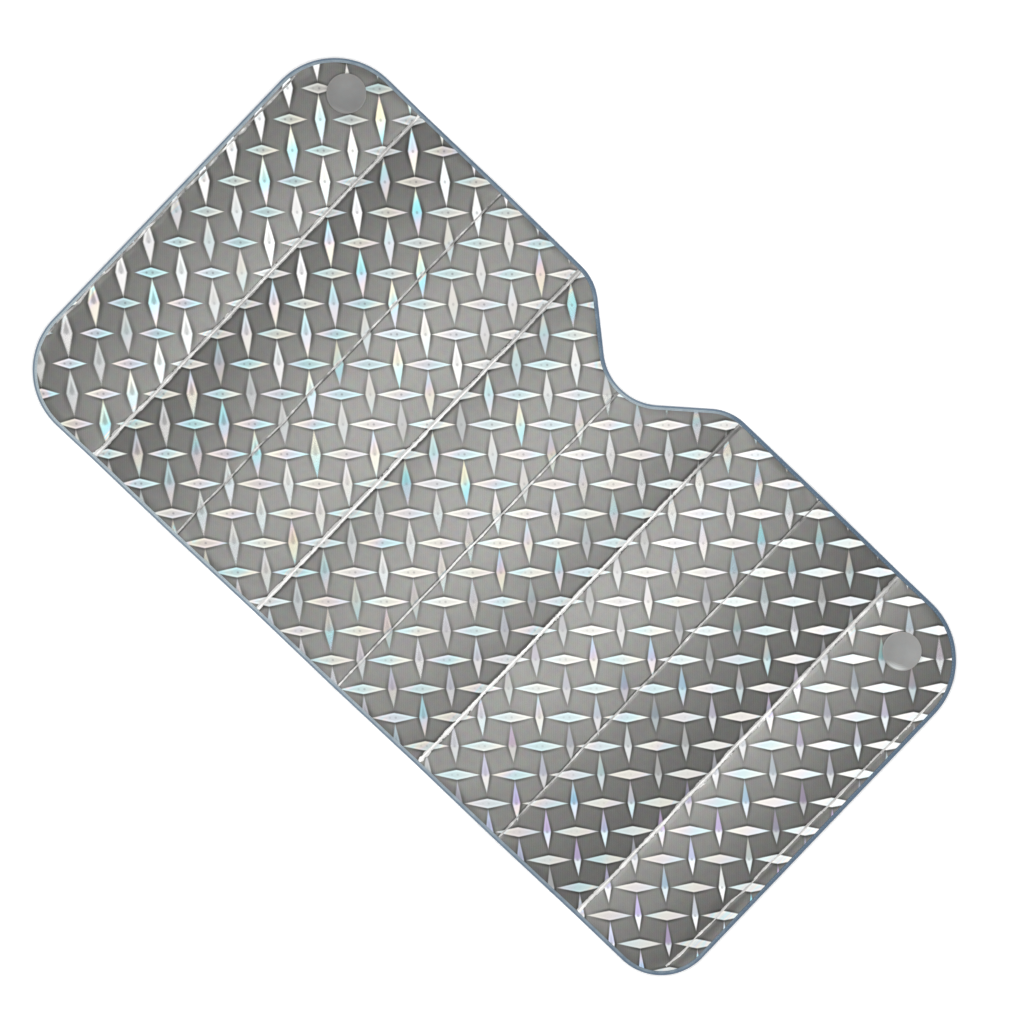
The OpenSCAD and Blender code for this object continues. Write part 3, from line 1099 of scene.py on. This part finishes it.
def tape_section(points, inward):
    """The lines along the tape, in order round its section: pairs of flat points and heights."""
    over = 2.0 * MM
    # distance from the outline and height over the film, from the tape's inner edge outwards
    face = [
        (BIND_W, 0.10 * MM),
        (BIND_W - 0.25 * MM, TAPE_T),
        (STITCH_IN + 0.9 * MM, TAPE_T),
        (STITCH_IN, STITCH_BED),
        (STITCH_IN - 0.9 * MM, TAPE_T),
        (3.2 * MM, TAPE_T * 1.05),
    ]
    curve = np.radians(np.linspace(0, 180, 9))
    inner = [1.15 * MM, 3 * MM, BIND_W]
    skin = 0.02 * MM

    def at(n):
        p = points + inward * n
        return p, heights(p[:, 0], p[:, 1], np.full(len(p), n))

    rings = []
    for n, up in face:
        p, (front, _) = at(n)
        rings.append((p, front + up))
    p, (front, back) = at(over)
    middle, half = (front + back) / 2, (front - back) / 2 + TAPE_T
    for a in curve:
        p = points + inward * (over * (1 - math.sin(a)))
        rings.append((p, middle + half * math.cos(a)))
    for n, up in face[::-1]:
        p, (front, back) = at(n)
        rings.append((p, back - up))
    for n in inner[::-1]:
        p, (front, back) = at(n)
        rings.append((p, back - skin))
    for n in inner:
        p, (front, back) = at(n)
        rings.append((p, front + skin))
    return rings


def build_binding(k):
    verts, faces, uvs = [], [], []
    threads = []
    for points, inward, distance in runs_for(k):
        rings = tape_section(points, inward)
        base = len(verts)
        m, n = len(points), len(rings)
        girth = 0.0
        last = None
        offsets = []
        for p, z in rings:
            here = np.array([p[0, 0], p[0, 1], z[0]])
            girth += 0 if last is None else np.linalg.norm(here - last)
            offsets.append(girth)
            last = here
        for i in range(m):
            for r, (p, z) in enumerate(rings):
                verts.append((p[i, 0], p[i, 1], z[i]))
                uvs.append((distance[i], offsets[r]))
        for i in range(m - 1):
            for r in range(n):
                a, b = base + i * n + r, base + i * n + (r + 1) % n
                faces.append((a, b, b + n, a + n))
        faces.append(tuple(base + r for r in range(n))[::-1])
        faces.append(tuple(base + (m - 1) * n + r for r in range(n)))
        threads.append((points, inward, distance))
    tape = mesh_object(f"binding_tape_{k}", lay(*np.array(verts).T), faces, uvs, TAPE)
    cross_fold(tape, k)
    stands_for(k, "edge_binding")
    build_stitches(k, threads)


def build_stitches(k, threads):
    """One short tube a stitch, on both faces of the tape, with its ends sunk into it."""
    sides = 6
    lengths = np.array([-0.5, -0.36, -0.12, 0.12, 0.36, 0.5]) * STITCH_LONG
    rise = np.array([-0.30, 0.10, 0.20, 0.20, 0.10, -0.30]) * MM
    width = np.array([0.55, 1, 1.05, 1.05, 1, 0.55]) * STITCH_R
    verts, faces, uvs = [], [], []
    for points, inward, distance in threads:
        first = math.ceil(distance[0] / STITCH_PITCH + 0.5)
        last = math.floor(distance[-1] / STITCH_PITCH - 0.5)
        s = np.arange(first, last + 1) * STITCH_PITCH
        px, py = np.interp(s, distance, points[:, 0]), np.interp(s, distance, points[:, 1])
        ix, iy = np.interp(s, distance, inward[:, 0]), np.interp(s, distance, inward[:, 1])
        for face in (1, -1):
            cx, cy = px + ix * STITCH_IN, py + iy * STITCH_IN
            front, back = heights(cx, cy, np.full(len(cx), STITCH_IN))
            top = front + STITCH_BED if face > 0 else back - STITCH_BED
            for n in range(len(s)):
                base = len(verts)
                ax, ay = -iy[n], ix[n]
                for along, up, r in zip(lengths, rise, width):
                    for q in range(sides):
                        a = 2 * math.pi * q / sides
                        out = r * math.cos(a)
                        lift = face * (up + r * math.sin(a) + STITCH_R * 0.5)
                        vx = cx[n] + ax * along + ix[n] * out
                        vy = cy[n] + ay * along + iy[n] * out
                        verts.append((vx, vy, top[n] + lift))
                        uvs.append((s[n] + along, r * a))
                for i in range(len(lengths) - 1):
                    for q in range(sides):
                        a, b = base + i * sides + q, base + i * sides + (q + 1) % sides
                        quad = (a, b, b + sides, a + sides)
                        faces.append(quad if face < 0 else quad[::-1])
                start = tuple(base + q for q in range(sides))
                end = tuple(base + (len(lengths) - 1) * sides + q for q in range(sides))
                faces.append(start[::-1] if face < 0 else start)
                faces.append(end if face < 0 else end[::-1])
    stitches = mesh_object(f"binding_stitches_{k}", lay(*np.array(verts).T), faces, uvs, THREAD)
    cross_fold(stitches, k)


for fold in range(1, FOLDS + 1):
    build_layers(fold)
    build_crease(fold)
    build_binding(fold)
build_side_crease(-1, "side_crease_left", "panel_1", PRESSED_FAINT_GLINT)
build_side_crease(1, "side_crease_right", f"panel_{PANELS}", PRESSED_GLINT)

for side, cup in (("left", CUP_LEFT), ("right", CUP_RIGHT)):
    for kind, finish in (("suction_cup", cup), ("eyelet", METAL), ("eyelet_washer", METAL)):
        node = frame["nodes"][f"{kind}_{side}"]
        node.data.materials.clear()
        node.data.materials.append(finish)


# ---- floor, light and camera ----

def floor_material():
    return {"Base Color": rgb(0.93, 0.93, 0.93), "Roughness": 0.8,
            "Emission Color": rgb(1, 1, 1), "Emission Strength": 0.22}


FLOOR_Z = -0.2 * MM


def build_floor():
    """A level floor that slopes down with the pad when its folds are opened flat.

    Panel 1 stays where it is, so the rest of an opened pad points down along it. The floor turns about
    fold 1, towards a mark that panel 8 carries under fold 7, and never turns the other way.
    """
    bpy.ops.mesh.primitive_plane_add(size=14, location=(fold_x(1), 0, FLOOR_Z))
    floor = bpy.context.object
    floor.name = "floor"
    floor.data.materials.append(material("pale_floor", floor_material))
    mark = bpy.data.objects.new("floor_mark", None)
    bpy.context.scene.collection.objects.link(mark)
    mark.location = (fold_x(FOLDS), 0, FLOOR_Z)
    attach(mark, f"panel_{PANELS}")
    towards = floor.constraints.new("DAMPED_TRACK")
    towards.target = mark
    towards.track_axis = "TRACK_X"
    only_down = floor.constraints.new("LIMIT_ROTATION")
    only_down.use_limit_x = True
    only_down.use_limit_y = True
    only_down.use_limit_z = True
    only_down.max_y = math.radians(10)


def area_light(name, size, power, place, target=(0, 0, 0)):
    data = bpy.data.lights.new(name, "AREA")
    data.shape = "SQUARE"
    data.size = size
    data.energy = power
    light = bpy.data.objects.new(name, data)
    bpy.context.scene.collection.objects.link(light)
    light.location = place
    light.rotation_mode = "QUATERNION"
    light.rotation_quaternion = (Vector(target) - Vector(place)).to_track_quat("-Z", "Y")
    light.visible_camera = False


def build_lights():
    area_light("overhead", 0.9, 20.5, (0.0, 0.0, 1.95))
    for n, power in enumerate((9, 9, 22, 9)):
        a = math.radians(60 + 90 * n)
        area_light(f"side_{n}", 2.0, power, (3.2 * math.cos(a), 3.2 * math.sin(a), 1.7))
    world = bpy.data.worlds.new("studio")
    world.use_nodes = True
    world.node_tree.nodes["Background"].inputs["Color"].default_value = (1, 1, 1, 1)
    world.node_tree.nodes["Background"].inputs["Strength"].default_value = 0.5
    bpy.context.scene.world = world


CAMERA_LENS = 85.0
CAMERA_FAR = 3.559
CAMERA_TILT = math.radians(2.9)
CAMERA_TURN = math.radians(43.62)
CAMERA_AIM = Vector((8.5 * MM, 17.8 * MM, 8 * MM))


def build_camera():
    data = bpy.data.cameras.new("camera")
    data.lens = CAMERA_LENS
    data.sensor_width = 36
    camera = bpy.data.objects.new("camera", data)
    bpy.context.scene.collection.objects.link(camera)
    back = Vector((-math.sin(CAMERA_TILT), 0, math.cos(CAMERA_TILT)))
    right = Vector((math.cos(CAMERA_TURN), math.sin(CAMERA_TURN), 0))
    right = (right - back * right.dot(back)).normalized()
    up = back.cross(right)
    turn = Matrix((right, up, back)).transposed()
    camera.matrix_world = Matrix.Translation(CAMERA_AIM + back * CAMERA_FAR) @ turn.to_4x4()
    bpy.context.scene.camera = camera


build_floor()
build_lights()
build_camera()
bpy.context.scene.view_settings.view_transform = "Standard"
